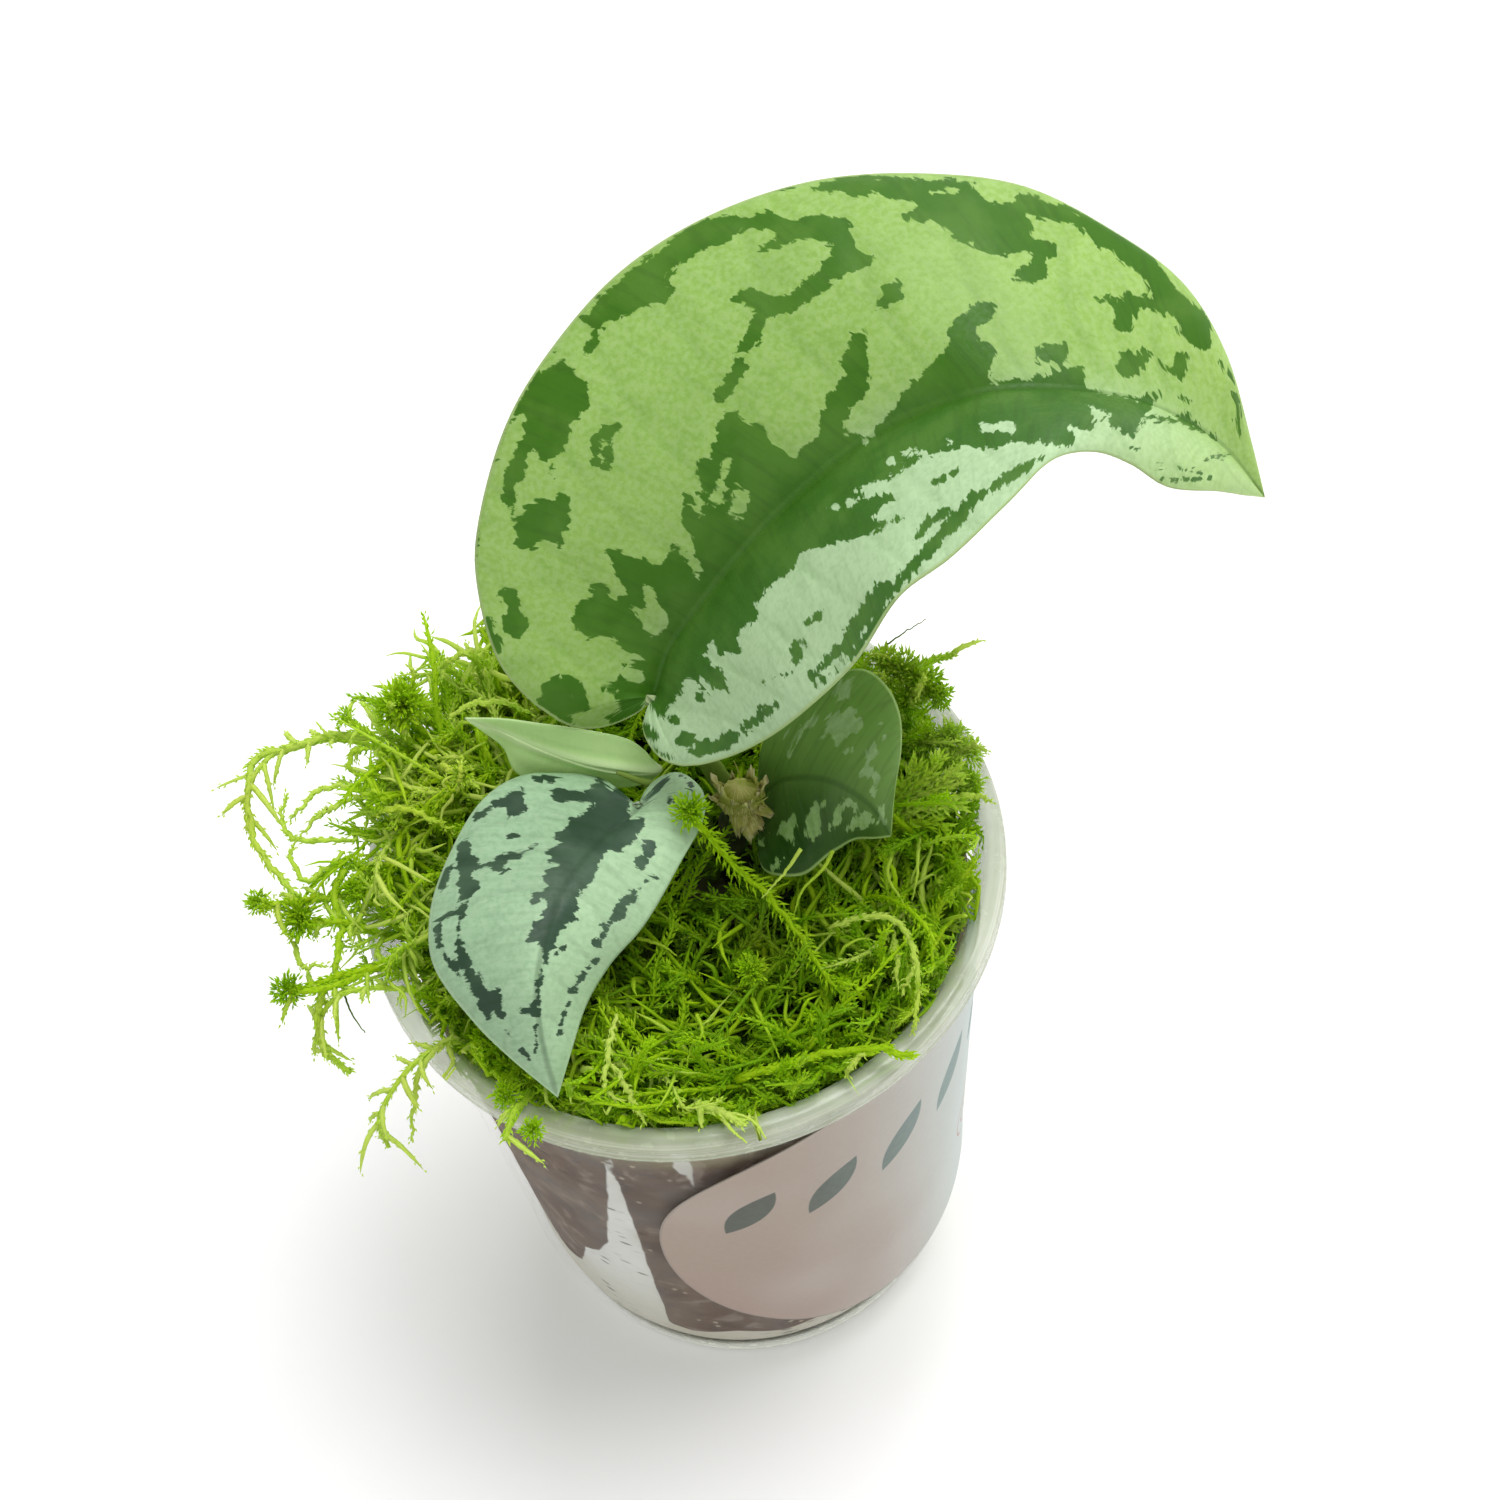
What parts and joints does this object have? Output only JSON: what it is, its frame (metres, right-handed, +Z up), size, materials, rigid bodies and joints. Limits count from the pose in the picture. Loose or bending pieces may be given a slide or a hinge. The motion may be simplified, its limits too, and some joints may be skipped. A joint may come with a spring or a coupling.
{
  "type": "satin pothos in a clear cup of moss",
  "caption": "Young satin pothos with one large arching silver-green leaf and smaller leaves, growing in live moss in a clear tapered cup with a plain oval label.",
  "frame": {"origin": "centre of the cup's base, on the plane it rests on", "axes": "+Z up, +X to the right in the picture, +Y away from the viewer"},
  "size_m": [0.0991, 0.0671, 0.1206],
  "materials": {
    "clear_plastic": "clear, slightly milky polypropylene",
    "label_paper": "matt off-white paper",
    "coir_mix": "damp potting mix of coir and bark",
    "live_moss": "live sphagnum moss, bright yellow-green",
    "stem_skin": "dark green stem skin",
    "dry_sheath": "dry, papery, tan",
    "leaf_large": "satin leaf, silver yellow-green with dark green blotches",
    "leaf_front": "satin leaf, blue-silver with dark green blotches",
    "leaf_right": "satin leaf, dark green with silver flecks",
    "leaf_pale": "pale green underside of a young leaf"
  },
  "bodies": {
    "root": {"cup": "clear_plastic", "label": "label_paper", "substrate": "coir_mix", "moss": "live_moss", "stem": "stem_skin", "dry_sheath": "dry_sheath", "leaf_large": "leaf_large", "leaf_front": "leaf_front", "leaf_right": "leaf_right", "leaf_pale": "leaf_pale"}
  },
  "joints": []
}
